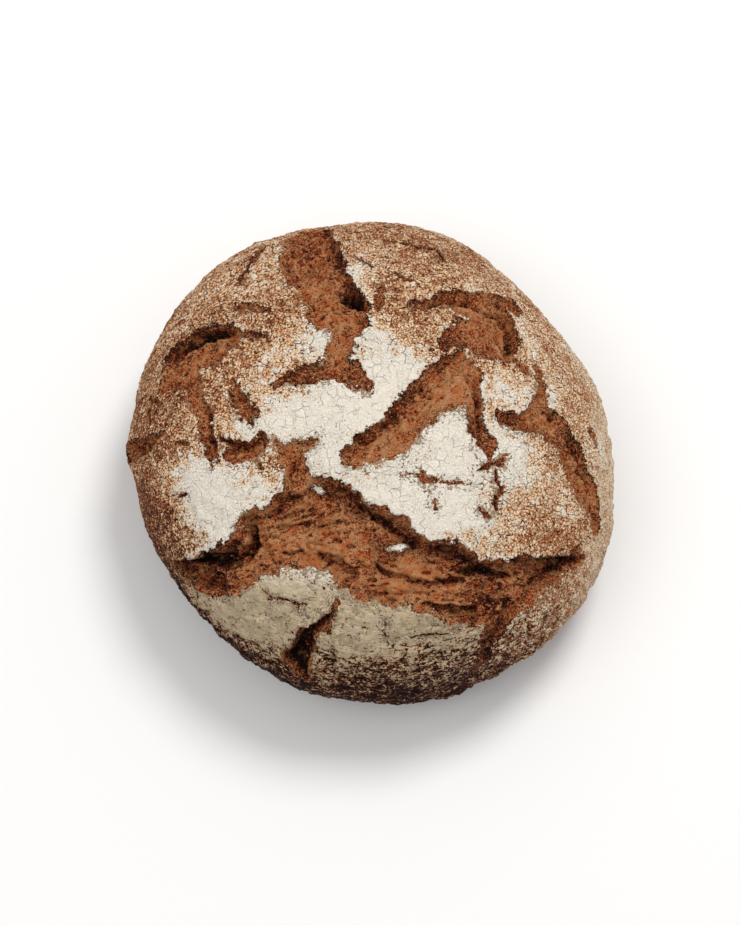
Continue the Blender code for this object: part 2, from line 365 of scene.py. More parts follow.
def smooth_step(value, low, high):
    """0 at low and 1 at high, which may be the smaller of the two."""
    part = np.clip((value - low) / (high - low), 0.0, 1.0)
    return part * part * (3 - 2 * part)


# ---------------------------------------------------------------------------
# The form
# ---------------------------------------------------------------------------
def plain_form(lean, turn):
    """The loaf before it tore, for a lean from the top and a turn from the right, in radians."""
    power = np.where(lean < math.pi / 2, CROWN_POWER, BASE_POWER)
    height = np.where(lean < math.pi / 2, CROWN_RISE, BASE_DROP)
    side, up = np.sin(lean), np.cos(lean)
    reach = (np.abs(side) ** power + np.abs(up) ** power) ** (-1.0 / power)
    along = np.cos(turn - LENGTH_TURN) / HALF_LENGTH
    across = np.sin(turn - LENGTH_TURN) / HALF_WIDTH
    radius = reach * side / np.hypot(along, across)
    return np.column_stack(
        [radius * np.cos(turn), radius * np.sin(turn), WIDEST_HEIGHT + height * reach * up]
    )


def form_at(east, north):
    """The plain form at places on the crown's map."""
    return plain_form(np.hypot(east, north) / CROWN_MAP, np.arctan2(north, east))


def outward(points):
    """The way straight out of the plain form."""
    out = points - np.array([0.0, 0.0, WIDEST_HEIGHT])
    out[:, 2] *= (HALF_WIDTH / CROWN_RISE) ** 2
    return out / np.linalg.norm(out, axis=1)[:, None]


def near_path(east, north, path, margin):
    """Indices of the places that lie within a margin of a path's box."""
    corners = np.array(path)
    low = (corners[:, :2] - corners[:, 2:]).min(axis=0) - margin
    high = (corners[:, :2] + corners[:, 2:]).max(axis=0) + margin
    return np.nonzero((east > low[0]) & (east < high[0]) & (north > low[1]) & (north < high[1]))[0]


def across_path(east, north, path):
    """Offset from a path in half widths, plus to its left, the distance to its edge, and the way out."""
    offset = np.full(east.shape, FAR_OFF)
    edge = np.full(east.shape, FAR_OFF)
    way = np.zeros((len(east), 2))
    for start, end in zip(path, path[1:]):
        run = np.subtract(end[:2], start[:2])
        rel_east, rel_north = east - start[0], north - start[1]
        along = np.clip((rel_east * run[0] + rel_north * run[1]) / (run @ run), 0.0, 1.0)
        out = np.column_stack([rel_east - along * run[0], rel_north - along * run[1]])
        far = np.maximum(np.hypot(*out.T), 1e-6)
        half = start[2] + along * (end[2] - start[2])
        side = np.where(run[0] * rel_north - run[1] * rel_east > 0, 1.0, -1.0)
        offset = np.where(far / half < np.abs(offset), side * far / half, offset)
        own_way = out * (np.minimum(half / 5, 1) / far)[:, None]
        way = np.where((far - half < edge)[:, None], own_way, way)
        edge = np.minimum(edge, far - half)
    return offset, edge, way


def tear_fields(east, north, chip, firm):
    """How deep the tears are, their ragged and even edge, depth and steepness beside, and the way out."""
    relief = np.zeros_like(east)
    edge = np.full_like(east, BEYOND_EDGE)
    even_edge = edge.copy()
    beside = np.zeros_like(east)
    steep = np.zeros_like(east)
    way = np.zeros((len(east), 2))
    for _, depth, lean, path in TEARS:
        near = near_path(east, north, path, TEAR_MARGIN)
        narrow = max(half for _, _, half in path) < NARROW
        offset, even, own_way = across_path(east[near], north[near], path)
        share = NARROW_CHIPS if narrow else 1.0
        chipped = east[near] + share * chip[near, 0], north[near] + share * chip[near, 1]
        _, ragged, _ = across_path(*chipped, path)
        inside = np.clip(offset, -1.0, 1.0) * math.copysign(1.0, lean)
        if depth > WIDE_TEAR_DEPTH:
            inside *= firm[near]
        deep = depth * (1.0 - abs(lean) * (1.0 - inside) / 2.0)
        thick = np.minimum(SKIN_THICK * np.clip(0.8 + 0.5 * abs(lean) * inside, 0.4, 1.0), deep)
        skin = smooth_step(-ragged, 0.0, 0.7) * thick
        run = NARROW_RUN if narrow else WIDE_RUN
        slope = smooth_step(-even, 0.6, run + 0.8) * smooth_step(-ragged, -1.5, 0.5) * (deep - thick)
        relief[near] = np.maximum(relief[near], skin + slope)
        nearer = ragged < edge[near]
        beside[near] = np.where(nearer, deep, beside[near])
        steep[near] = np.where(nearer, abs(lean) * inside, steep[near])
        way[near] = np.where(nearer[:, None], own_way, way[near])
        edge[near] = np.minimum(edge[near], ragged)
        even_edge[near] = np.minimum(even_edge[near], even)
    return SimpleNamespace(
        relief=relief, edge=edge, even_edge=even_edge, beside=beside, steep=steep, way=way
    )


def crease_depth(east, north, edge):
    """How far the crevices sink below the tears that hold them."""
    total = np.zeros_like(east)
    for depth, path in CREASES:
        near = near_path(east, north, path, 1.0)
        offset, _, _ = across_path(east[near], north[near], path)
        total[near] = np.maximum(total[near], depth * np.clip(1 - offset**2, 0, 1))
    return total * smooth_step(-edge, -0.5, 1.5)


def island_mask(east, north):
    """How far inside an island each place lies, millimetres, and the island's flour."""
    inside = np.full_like(east, -9.0)
    flour = np.zeros_like(east)
    for place_east, place_north, half_east, half_north, amount in ISLANDS:
        far = np.hypot((east - place_east) / half_east, (north - place_north) / half_north)
        own = (1 - far) * min(half_east, half_north)
        flour = np.where(own > inside, amount, flour)
        inside = np.maximum(inside, own)
    return inside, flour


def sum_of_patches(east, north, patches):
    """Round and oval patches added up, each fading outwards from its middle."""
    total = np.zeros_like(east)
    for place_east, place_north, reach_east, reach_north, amount in patches:
        far = ((east - place_east) / reach_east) ** 2 + ((north - place_north) / reach_north) ** 2
        total += amount * np.exp(-far)
    return total


def terraced(height, step):
    """Heights gathered into ledges one step apart."""
    part = height / step
    ledge = np.floor(part)
    return (ledge + smooth_step(part - ledge, 0.3, 0.7)) * step


def crumb_relief(points, front):
    """Lumps, flakes, crevices and pits of the torn crumb; in the front tear they lie in level layers."""
    grain = points * np.column_stack([1 - 0.55 * front, np.ones_like(front), np.ones_like(front)])
    nearest, second, number = cell_noise(grain, 3.6, 11)
    crevice = np.exp(-(((second - nearest) / 0.11) ** 2))
    pits = smooth_step(0.46 - nearest, 0.0, 0.3) * (number > 0.7)
    small_nearest, _, small_number = cell_noise(grain, 1.9, 21)
    small_pits = smooth_step(0.5 - small_nearest, 0.0, 0.3) * (small_number > 0.7)
    return (
        1.6 * soft_noise(points, 11, 31)
        + 1.0 * (1 - 2 * np.abs(soft_noise(grain, 6, 32)))
        + 0.6 * (number - 0.5)
        - 0.7 * crevice
        + 0.7 * soft_noise(grain, 3.0, 33)
        + 0.5 * (1 - 2 * np.abs(soft_noise(grain, 2.1, 34)))
        + 0.3 * (small_number - 0.5)
        + 0.35 * soft_noise(grain, 1.3, 35)
        - 2.2 * pits
        - 1.2 * small_pits
    )


def wander(points, seed):
    """Millimetres by which a torn edge strays."""
    return (
        1.5 * soft_noise(points, 9, seed)
        + 0.8 * soft_noise(points, 4, seed + 1)
        + 0.5 * soft_noise(points, 2, seed + 2)
    )


def crumb_fall(points, north, tears, standing):
    """How far the crumb lies below the crust, and where there is crumb at all."""
    front = smooth_step(-north, 45, 60) * smooth_step(tears.edge, 0.5, -0.5)
    torn = smooth_step(-tears.edge, 0.0, 1.2)
    live = np.nonzero(torn > 0)[0]
    lumps = np.zeros_like(north)
    lumps[live] = crumb_relief(points[live], front[live])
    liveliness = torn * np.clip(0.3 + tears.relief / 5.0, 0.0, 1.0) * (1 - 0.3 * standing)
    fall = tears.relief - liveliness * lumps
    wall = smooth_step(-tears.even_edge, 0.0, 0.6) * smooth_step(-tears.even_edge, 4.0, 2.0)
    wall *= np.clip(tears.steep * 2, 0, 1)
    ledges = torn * (0.25 + 0.3 * front + 0.4 * wall)
    fall += ledges * (terraced(fall + 0.6 * soft_noise(points, 3.7, 36), 1.9) - fall)
    return fall, torn


def crust_grain(points, lean, turn, north):
    """Blisters and grain of the crust, and the streaks and flakes round the low front."""
    around = np.column_stack([np.cos(turn) * 55, np.sin(turn) * 55, lean * CROWN_MAP])
    low_front = smooth_step(-north, 85, 105)
    streak = soft_noise(around, 2.6, 47)
    return (
        0.55 * (1 - 2 * np.abs(soft_noise(points, 5.5, 43)))
        + 0.4 * soft_noise(points, 2.8, 44)
        + 0.3 * soft_noise(points, 1.6, 45)
        + low_front * (0.3 * streak + 0.55 * (1 - 2 * np.abs(soft_noise(points, 3.4, 48))))
        + low_front * (0.7 * terraced(2.0 * soft_noise(points, 7.5, 50), 0.8) - 1.0)
    )


def curled_lip(points, tears):
    """The raised lip of the crust beside each deep tear."""
    shape = np.exp(-((np.maximum(tears.edge, 0.0) / LIP_REACH) ** 2)) * np.clip(tears.beside / 8.0, 0, 1)
    return LIP_HEIGHT * shape * (0.7 + 0.6 * soft_noise(points, 13, 46))


def drawn_back(points, east, north, tears):
    """The plain form with the crumb drawn back under the steep edges."""
    under = smooth_step(-tears.edge, 0.1, 1.2) * (1 - smooth_step(-tears.edge, 1.2, 6.0))
    under *= np.clip(tears.beside / 5.0, 0, 1) * np.clip(tears.steep, 0, 1)
    under *= 1.4 + 0.5 * soft_noise(points, 10, 49)
    return form_at(east + tears.way[:, 0] * under, north + tears.way[:, 1] * under)


def roughen_walls(mesh, skin, walls, way):
    """The walls of the tears evened out, and then torn rough along the way out and up."""
    even = np.column_stack([smoothed(mesh, skin[:, axis], WALL_ROUNDS) for axis in range(3)])
    skin += 0.85 * walls[:, None] * (even - skin)
    rough = walls * (0.6 * soft_noise(skin, 2.8, 53) + 0.4 * soft_noise(skin, 1.5, 54))
    skin[:, :2] += rough[:, None] * way
    skin[:, 2] += walls * 0.5 * soft_noise(skin, 2.2, 55)


def loaf_fields(mesh):
    """Positions of the loaf's skin and the values that its finish reads, by name."""
    directions = coordinates(mesh)
    lean = np.arctan2(np.hypot(directions[:, 0], directions[:, 1]), directions[:, 2])
    turn = np.arctan2(directions[:, 1], directions[:, 0])
    east, north = CROWN_MAP * lean * np.cos(turn), CROWN_MAP * lean * np.sin(turn)
    points = plain_form(lean, turn)

    # Torn edges break in chips and wander: the tears are read at places shifted from their own.
    wander_east, wander_north = wander(points, 1), wander(points, 4)
    chip = 0.42 * toward_chip(east, north, LARGE_CHIP, 61) + 0.3 * toward_chip(east, north, SMALL_CHIP, 64)
    torn_east, torn_north = east + wander_east, north + wander_north
    firm = np.clip(0.75 + 0.9 * soft_noise(points, 15, 52), 0.1, 1.0)
    tears = tear_fields(torn_east, torn_north, chip, firm)
    island, island_flour = island_mask(torn_east, torn_north)
    standing = smooth_step(island, -0.3, 0.8)
    tears.relief += crease_depth(torn_east, torn_north, tears.edge)
    tears.relief *= 1 - ISLAND_RISE * standing
    tears.edge = edge = np.maximum(tears.edge, np.where(tears.edge < 0, island, tears.edge))

    fall, torn = crumb_fall(points, north, tears, standing)
    broad = 1.6 * soft_noise(points, 46, 41) + 0.7 * soft_noise(points, 17, 42)
    swell = sum_of_patches(east, north, [(e, n, reach, reach, h) for e, n, reach, h in SWELLINGS])
    crust = crust_grain(points, lean, turn, north) + curled_lip(points, tears)
    lift = swell + broad + (1 - torn) * crust - fall

    drawn = drawn_back(points, east, north, tears)
    skin = drawn + outward(drawn) * lift[:, None]
    walls = smooth_step(edge, -4.5, -2.5) * smooth_step(edge, 0.1, -0.6) * np.clip(tears.beside / 4, 0, 1)
    roughen_walls(mesh, skin, walls, tears.way)

    dusted = PLAIN_FLOUR + sum_of_patches(east + 2 * wander_east, north + 2 * wander_north, DUSTINGS)
    lost_at_edge = 0.12 * np.exp(-((np.maximum(edge, 0) / 1.6) ** 2)) * np.clip(tears.beside / 5.0, 0, 1)
    to_front = np.clip(0.1 - 0.8 * np.sin(turn) - 0.35 * np.cos(turn), 0, 1)
    lost_low_down = 0.33 * smooth_step(lean, 1.22, 1.62) * to_front
    flour = np.where(edge > 0, dusted - lost_at_edge - lost_low_down, 0.0) + standing * island_flour
    toast_and_shade = 0.5 + sum_of_patches(east, north, [(e, n, reach, reach, t) for e, n, reach, t in TOASTS_AND_SHADE])
    # The crumb's tone wanders at random, and is darkened in shallow, narrow tears as painted shade.
    toast_and_shade += 0.3 * soft_noise(points, 14, 51) - 1.3 * np.clip(1 - tears.beside / 2.4, 0, 1)
    return skin, {
        "east": east,
        "north": north,
        "edge": np.clip(edge, -20, 20),
        "depth": np.where(torn > 0, fall, 0),
        "wall": np.clip(tears.steep, 0, 1) * np.clip(tears.beside / 6, 0, 1),
        "flour": np.clip(flour, 0, 1.3),
        "dusted": dusted,
        "toast_and_shade": toast_and_shade,
        # near_hollow and wide_hollow say how far each place lies below its surroundings; the finish darkens
        # the crumb by them, and by depth and wall, as painted shade.
        "near_hollow": (smoothed(mesh, lift, GRAIN_ROUNDS) - lift) * (1 - 0.8 * walls),
        "wide_hollow": smoothed(mesh, lift, PLATE_ROUNDS) - lift,
    }


# ---------------------------------------------------------------------------
# Mesh tools
# ---------------------------------------------------------------------------
def coordinates(mesh):
    """Places of a mesh's vertices, one row each."""
    flat = np.empty(len(mesh.vertices) * 3, np.float32)
    mesh.vertices.foreach_get("co", flat)
    return flat.reshape(-1, 3).astype(np.float64)


def set_coordinates(mesh, points):
    mesh.vertices.foreach_set("co", np.ascontiguousarray(points, np.float32).ravel())
    mesh.update()


def store_value(mesh, name, values):
    made = mesh.attributes.new(name, "FLOAT", "POINT")
    made.data.foreach_set("value", np.ascontiguousarray(values, np.float32))


def read_value(mesh, name):
    flat = np.empty(len(mesh.vertices), np.float32)
    mesh.attributes[name].data.foreach_get("value", flat)
    return flat


def smoothed(mesh, values, rounds):
    """Values evened out over the mesh's edges."""
    ends = np.empty(len(mesh.edges) * 2, np.int32)
    mesh.edges.foreach_get("vertices", ends)
    near, far = ends[::2], ends[1::2]
    size = len(values)
    count = np.bincount(ends, minlength=size)
    for _ in range(rounds):
        total = np.bincount(near, values[far], size) + np.bincount(far, values[near], size)
        values = (values + total / count) / 2
    return values


def only_active(piece):
    bpy.ops.object.select_all(action="DESELECT")
    piece.select_set(True)
    bpy.context.view_layer.objects.active = piece


def apply_modifier(piece, name, kind, **settings):
    only_active(piece)
    modifier = piece.modifiers.new(name, kind)
    for key, value in settings.items():
        setattr(modifier, key, value)
    bpy.ops.object.modifier_apply(modifier=modifier.name)


def slice_off_below(piece, height, fill):
    """The piece cut off level at a height, with a flat face there when it is to be filled."""
    only_active(piece)
    bpy.ops.object.mode_set(mode="EDIT")
    bpy.ops.mesh.select_all(action="SELECT")
    bpy.ops.mesh.bisect(plane_co=(0, 0, height), plane_no=(0, 0, 1), clear_inner=True, use_fill=fill)
    bpy.ops.object.mode_set(mode="OBJECT")


SPHERE_LEVELS = 8
TRIANGLES_WANTED = 190000


def unit_sphere(name):
    """An even ball of square faces without its underside, one metre in radius."""
    bpy.ops.object.select_all(action="DESELECT")
    bpy.ops.mesh.primitive_cube_add(size=2.0, location=(0, 0, 0))
    piece = bpy.context.active_object
    piece.name = piece.data.name = name
    apply_modifier(piece, "divide", "SUBSURF", subdivision_type="SIMPLE",
                   levels=SPHERE_LEVELS, render_levels=SPHERE_LEVELS)
    points = np.tan(coordinates(piece.data) * math.pi / 4)
    set_coordinates(piece.data, points / np.linalg.norm(points, axis=1)[:, None])
    slice_off_below(piece, math.cos(SKIN_BELOW), fill=False)
    return piece


def arc_over_crown(lean):
    """Distance over the plain crust from the top, for a lean in radians."""
    steps = np.linspace(0, SKIN_BELOW + math.radians(5), 300)
    line = plain_form(steps, np.full_like(steps, LENGTH_TURN + math.pi / 4))
    run = np.concatenate([[0], np.cumsum(np.linalg.norm(np.diff(line, axis=0), axis=1))])
    return np.interp(lean, steps, run)


DOME_ISLAND = 0.49
SOLE_ISLAND = 0.065
SOLE_MIDDLE = 0.075
SOLE_REACH = 0.12


def lay_out_map(piece):
    """A map for baking: the dome as one disc, and the sole as a small one in a corner."""
    mesh = piece.data
    points = coordinates(mesh)
    east, north = read_value(mesh, "east"), read_value(mesh, "north")
    far = np.hypot(east, north)
    scale = DOME_ISLAND / arc_over_crown(SKIN_BELOW) * arc_over_crown(far / CROWN_MAP)
    dome = 0.5 + np.column_stack([east, north]) * (scale / np.maximum(far, 1e-6))[:, None]
    sole = SOLE_MIDDLE + points[:, :2] * SOLE_ISLAND / SOLE_REACH
    corner = np.empty(len(mesh.loops), np.int32)
    mesh.loops.foreach_get("vertex_index", corner)
    sizes = np.empty(len(mesh.polygons), np.int32)
    mesh.polygons.foreach_get("loop_total", sizes)
    flat = np.array([polygon.normal.z < -0.999 for polygon in mesh.polygons])
    on_sole = np.repeat(flat, sizes)[:, None]
    while mesh.uv_layers:
        mesh.uv_layers.remove(mesh.uv_layers[0])
    layer = mesh.uv_layers.new(name="OFBake")
    layer.data.foreach_set("uv", np.where(on_sole, sole[corner], dome[corner]).astype(np.float32).ravel())


def mark_plain_crust(piece):
    """A vertex group of the crust away from the tears, where the mesh may be thinned."""
    plain = np.nonzero(read_value(piece.data, "edge") > 1.0)[0]
    group = piece.vertex_groups.new(name="plain crust")
    group.add(plain.tolist(), 1.0, "REPLACE")
    return group


def make_loaf():
    """The whole loaf as one skin, set on the middle of the plain solid, and how far it was shifted."""
    piece = unit_sphere("loaf_crust")
    skin, values = loaf_fields(piece.data)
    middle = (skin.min(axis=0) + skin.max(axis=0)) / 2
    target = (CAD_LOW + CAD_HIGH) / 2
    shift = np.array([target.x / MM - middle[0], target.y / MM - middle[1], 0])
    set_coordinates(piece.data, (skin + shift) * MM)
    for name, value in values.items():
        store_value(piece.data, name, value)
    group = mark_plain_crust(piece)
    faces = sum(len(p.vertices) - 2 for p in piece.data.polygons)
    apply_modifier(piece, "fewer faces", "DECIMATE", ratio=TRIANGLES_WANTED / faces, vertex_group=group.name)
    piece.vertex_groups.clear()
    slice_off_below(piece, 0.0, fill=True)
    lay_out_map(piece)
    piece.data.shade_smooth()
    return piece, shift


LUMP_SHAPES = 6
FLOUR_LUMPS = 260
FLOUR_LUMP_SIZES = (0.3, 1.1)
FLOUR_LUMPS_ABOVE = 72.0
CRUMB_BITS = 900
CRUMB_BIT_SIZES = (0.4, 2.0)
CRUMB_BITS_ABOVE = 40.0


def lump_shapes(random):
    """A few knobbly lumps, about one across, as places and triangles."""
    shapes = []
    for _ in range(LUMP_SHAPES):
        bpy.ops.object.select_all(action="DESELECT")
        bpy.ops.mesh.primitive_ico_sphere_add(subdivisions=1, radius=0.5, location=(0, 0, 0))
        lump = bpy.context.active_object
        points = coordinates(lump.data)
        points *= random.uniform(0.6, 1.15, len(points))[:, None]
        points *= random.uniform(0.55, 1.15, 3)
        triangles = np.array([polygon.vertices[:] for polygon in lump.data.polygons])
        shapes.append((points, triangles))
        bpy.data.objects.remove(lump)
    return shapes


def turned(points, random):
    """Points turned about a random line by a random angle."""
    spin = random.normal(size=4)
    w, x, y, z = spin / np.linalg.norm(spin)
    turn = np.array([
        [1 - 2 * (y * y + z * z), 2 * (x * y - w * z), 2 * (x * z + w * y)],
        [2 * (x * y + w * z), 1 - 2 * (x * x + z * z), 2 * (y * z - w * x)],
        [2 * (x * z - w * y), 2 * (y * z + w * x), 1 - 2 * (x * x + y * y)],
    ])
    return points @ turn.T


def scatter_lumps(name, loaf, chosen, sizes, seed):
    """Lumps joined into one piece, each sitting on one of the loaf's chosen vertices."""
    random = np.random.default_rng(seed)
    shapes = lump_shapes(random)
    smallest, largest = sizes
    skin = coordinates(loaf.data)
    places, faces, count = [], [], 0
    for spot in chosen:
        points, triangles = shapes[random.integers(LUMP_SHAPES)]
        across = smallest + (largest - smallest) * random.random() ** 3
        normal = np.array(loaf.data.vertices[int(spot)].normal)
        places.append(skin[spot] + (turned(points, random) + 0.1 * normal) * across * MM)
        faces.append(triangles + count)
        count += len(points)
    mesh = bpy.data.meshes.new(name)
    mesh.from_pydata(np.concatenate(places).tolist(), [], np.concatenate(faces).tolist())
    piece = bpy.data.objects.new(name, mesh)
    bpy.context.scene.collection.objects.link(piece)
    mesh.shade_smooth()
    return piece


def spots_where(share, count, seed):
    """Vertices of the loaf drawn at random, more of them where the share is higher."""
    random = np.random.default_rng(seed)
    return random.choice(len(share), size=count, replace=False, p=share / share.sum())


def make_flour_lumps(loaf):
    """Flour that clumped on the torn edges of the white plates and fell into the tears beside them."""
    edge, dusted = read_value(loaf.data, "edge"), read_value(loaf.data, "dusted")
    share = np.exp(-(((edge + 0.4) / 0.8) ** 2))
    share *= np.clip(dusted - 0.75, 0, 1) * (coordinates(loaf.data)[:, 2] > FLOUR_LUMPS_ABOVE * MM)
    return scatter_lumps("loaf_flour_lumps", loaf, spots_where(share, FLOUR_LUMPS, 91), FLOUR_LUMP_SIZES, 92)


def make_crumb_bits(loaf):
    """Bits of torn crumb and crust lying in the tears and along their edges."""
    edge = read_value(loaf.data, "edge")
    share = 1.0 * (edge < -0.3) + 0.25 * ((edge > 0) & (edge < 2.5))
    share *= coordinates(loaf.data)[:, 2] > CRUMB_BITS_ABOVE * MM
    return scatter_lumps("loaf_crumb_bits", loaf, spots_where(share, CRUMB_BITS, 93), CRUMB_BIT_SIZES, 94)


# ---------------------------------------------------------------------------
# Finishes
# ---------------------------------------------------------------------------
def colour(red, green, blue):
    """A colour given as 0 to 255 on a screen, as the shader wants it."""
    parts = np.array([red, green, blue]) / 255.0
    linear = np.where(parts <= 0.04045, parts / 12.92, ((parts + 0.055) / 1.055) ** 2.4)
    return (*linear, 1.0)


def add_node(tree, kind, inputs=None, **settings):
    """A node with its settings, and its inputs linked or set."""
    made = tree.nodes.new(kind)
    for name, value in settings.items():
        setattr(made, name, value)
    for name, value in (inputs or {}).items():
        value = value.socket if isinstance(value, Field) else value
        if isinstance(value, bpy.types.NodeSocket):
            tree.links.new(value, made.inputs[name])
        else:
            made.inputs[name].default_value = value
    return made


class Field:
    """A number that varies over a surface, worked out by a material's nodes."""

    def __init__(self, tree, socket):
        self.tree = tree
        self.socket = socket

    def worked(self, operation, *others):
        """This field and others put through one sum."""
        inputs = dict(enumerate((self, *others)))
        return Field(self.tree, add_node(self.tree, "ShaderNodeMath", inputs, operation=operation).outputs[0])

    def __add__(self, other):
        return self.worked("ADD", other)

    def __sub__(self, other):
        return self.worked("SUBTRACT", other)

    def __mul__(self, other):
        return self.worked("MULTIPLY", other)

    def __truediv__(self, other):
        return self.worked("DIVIDE", other)

    def spread(self, low, high, to_low=0.0, to_high=1.0):
        """Eased from one range to another, held at its ends; low may be the larger."""
        inputs = {0: self, 1: low, 2: high, 3: to_low, 4: to_high}
        node = add_node(self.tree, "ShaderNodeMapRange", inputs, interpolation_type="SMOOTHSTEP")
        return Field(self.tree, node.outputs[0])


def blend(tree, share, first, second, mode="MIX"):
    """The first colour with a share of the second laid over it."""
    node = add_node(tree, "ShaderNodeMix", {0: share, 6: first, 7: second}, data_type="RGBA", blend_type=mode)
    return node.outputs[2]


def ramp(tree, value, stops):
    """A colour for each value, from stops of position and colour."""
    node = add_node(tree, "ShaderNodeValToRGB", {0: value})
    band = node.color_ramp
    while len(band.elements) < len(stops):
        band.elements.new(0.5)
    for element, (position, tone) in zip(band.elements, stops):
        element.position = position
        element.color = tone
    return node.outputs[0]


def read(tree, name):
    """A value stored on the loaf's vertices."""
    return Field(tree, add_node(tree, "ShaderNodeAttribute", attribute_name=name).outputs["Fac"])


def grain_of(tree, place, size_mm, detail=2.0, roughness=0.55, distortion=0.0):
    """Noise with lumps of the given size."""
    inputs = {"Vector": place, "Scale": 1.0 / (size_mm * MM), "Detail": detail, "Roughness": roughness,
              "Distortion": distortion}
    return Field(tree, add_node(tree, "ShaderNodeTexNoise", inputs).outputs[0])


def cells_of(tree, place, size_mm, feature):
    """Distance to the nearest scattered point, or to the line between two of them."""
    inputs = {"Vector": place, "Scale": 1 / (size_mm * MM)}
    return Field(tree, add_node(tree, "ShaderNodeTexVoronoi", inputs, feature=feature).outputs["Distance"])


def start_finish(name):
    material = bpy.data.materials.new(name)
    material.use_nodes = True
    tree = material.node_tree
    return material, tree, add_node(tree, "ShaderNodeTexCoord").outputs["Object"]


def end_finish(material, tone, roughness, height, distance, strength):
    """The tone and the bump linked to the material's surface."""
    tree = material.node_tree
    surface = tree.nodes["Principled BSDF"]
    tree.links.new(tone, surface.inputs["Base Color"])
    surface.inputs["Roughness"].default_value = roughness
    surface.inputs["Specular IOR Level"].default_value = DRY_GLOSS
    bump = add_node(tree, "ShaderNodeBump", {"Height": height, "Distance": distance, "Strength": strength})
    tree.links.new(bump.outputs[0], surface.inputs["Normal"])


DRY_GLOSS = 0.2

# Grain sizes, millimetres.
FINE_GRAIN = 1.15
CLUSTER_GRAIN = 5.0
PATCH_GRAIN = 18.0
DOT_GRAIN = 0.8
CRUMB_GRAIN = 1.3
CRUMB_FLECK = 0.65
RIDGE_GRAIN = 2.6
STIR_GRAIN = 2.4
STIR_REACH = 1.8
GAP_CELL = 1.35
SPLIT_CELL = 4.2
PORE_CELL = 1.5
FLAKE_WAVE = 11.0

# How far round the front the streaks and the longer ridges are stretched.
STREAK_STRETCH = 60.0
RIDGE_STRETCH = 25.2

# From bare crust to crust under thin flour.
THIN_FLOUR_TONES = [
    (0.46, colour(56, 20, 7)),
    (0.54, colour(114, 58, 32)),
    (0.61, colour(170, 105, 66)),
    (0.68, colour(212, 151, 104)),
    (0.77, colour(234, 188, 142)),
    (0.88, colour(240, 214, 182)),
]
# Bare crust low on the front is multiplied darker: partly browner crust there, partly painted shade.
LOW_FRONT_BROWN_AND_SHADE = colour(136, 92, 70)
RUDDY_CRUST = colour(238, 184, 152)
SEAM_BROWN = colour(58, 26, 14)
DULL_FLOUR = colour(236, 225, 206)
WHITE_FLOUR = colour(248, 241, 230)
CREAM_FLOUR = colour(240, 218, 186)
DAMP_FLOUR = colour(247, 228, 196)
# Darkens the crust towards the bottom: partly the browner crust near the base, partly painted shade.
BASE_BROWN_AND_SHADE = colour(150, 112, 92)

# From the deepest crumb to the highest. The dark end is painted shade for the deep places.
CRUMB_TONES = [
    (0.08, colour(30, 10, 5)),
    (0.24, colour(86, 36, 16)),
    (0.40, colour(144, 71, 37)),
    (0.56, colour(185, 101, 55)),
    (0.78, colour(240, 172, 118)),
]
RED_CRUMB = colour(240, 174, 122)
OCHRE_CRUMB = colour(196, 138, 80)
FLOURED_CRUMB = colour(226, 194, 160)

CLUMP_TONES = [
    (0.30, colour(196, 176, 148)),
    (0.50, colour(232, 222, 206)),
    (0.70, colour(244, 238, 228)),
]
LOOSE_CRUMB_TONES = [
    (0.28, colour(70, 36, 22)),
    (0.45, colour(130, 72, 42)),
    (0.60, colour(176, 116, 72)),
    (0.75, colour(206, 156, 106)),
]


def grains_and_cracks(tree, place):
    """Grains of several sizes, the gaps between grains of flour, and the longer cracks of its plates."""
    inputs = {"Vector": place, "Scale": 1 / (STIR_GRAIN * MM), "Detail": 2.0}
    stir = add_node(tree, "ShaderNodeTexNoise", inputs).outputs["Color"]
    inputs = {0: stir, 1: (STIR_REACH * MM,) * 3, 2: place}
    stirred = add_node(tree, "ShaderNodeVectorMath", inputs, operation="MULTIPLY_ADD").outputs[0]
    cluster = grain_of(tree, place, CLUSTER_GRAIN, 3.0)
    split = cells_of(tree, stirred, SPLIT_CELL, "DISTANCE_TO_EDGE").spread(0.06, 0.0)
    wave = (grain_of(tree, place, FLAKE_WAVE, 4.0, 0.6, 0.4) - 0.5).worked("ABSOLUTE")
    pore = cells_of(tree, stirred, PORE_CELL, "F1").spread(0.34, 0.08)
    return SimpleNamespace(
        fine=grain_of(tree, place, FINE_GRAIN, 3.0, 0.68),
        cluster=cluster,
        patch=grain_of(tree, place, PATCH_GRAIN, 2.0),
        dots=grain_of(tree, place, DOT_GRAIN, 1.0),
        gap=cells_of(tree, stirred, GAP_CELL, "DISTANCE_TO_EDGE").spread(0.16, 0.0),
        split=split * cluster.spread(0.46, 0.62),
        flake=wave.spread(0.012, 0.0) * cluster.spread(0.40, 0.56),
        pore=pore * cluster.spread(0.44, 0.56),
        crumb=grain_of(tree, place, CRUMB_GRAIN, 5.0, 0.72),
    )


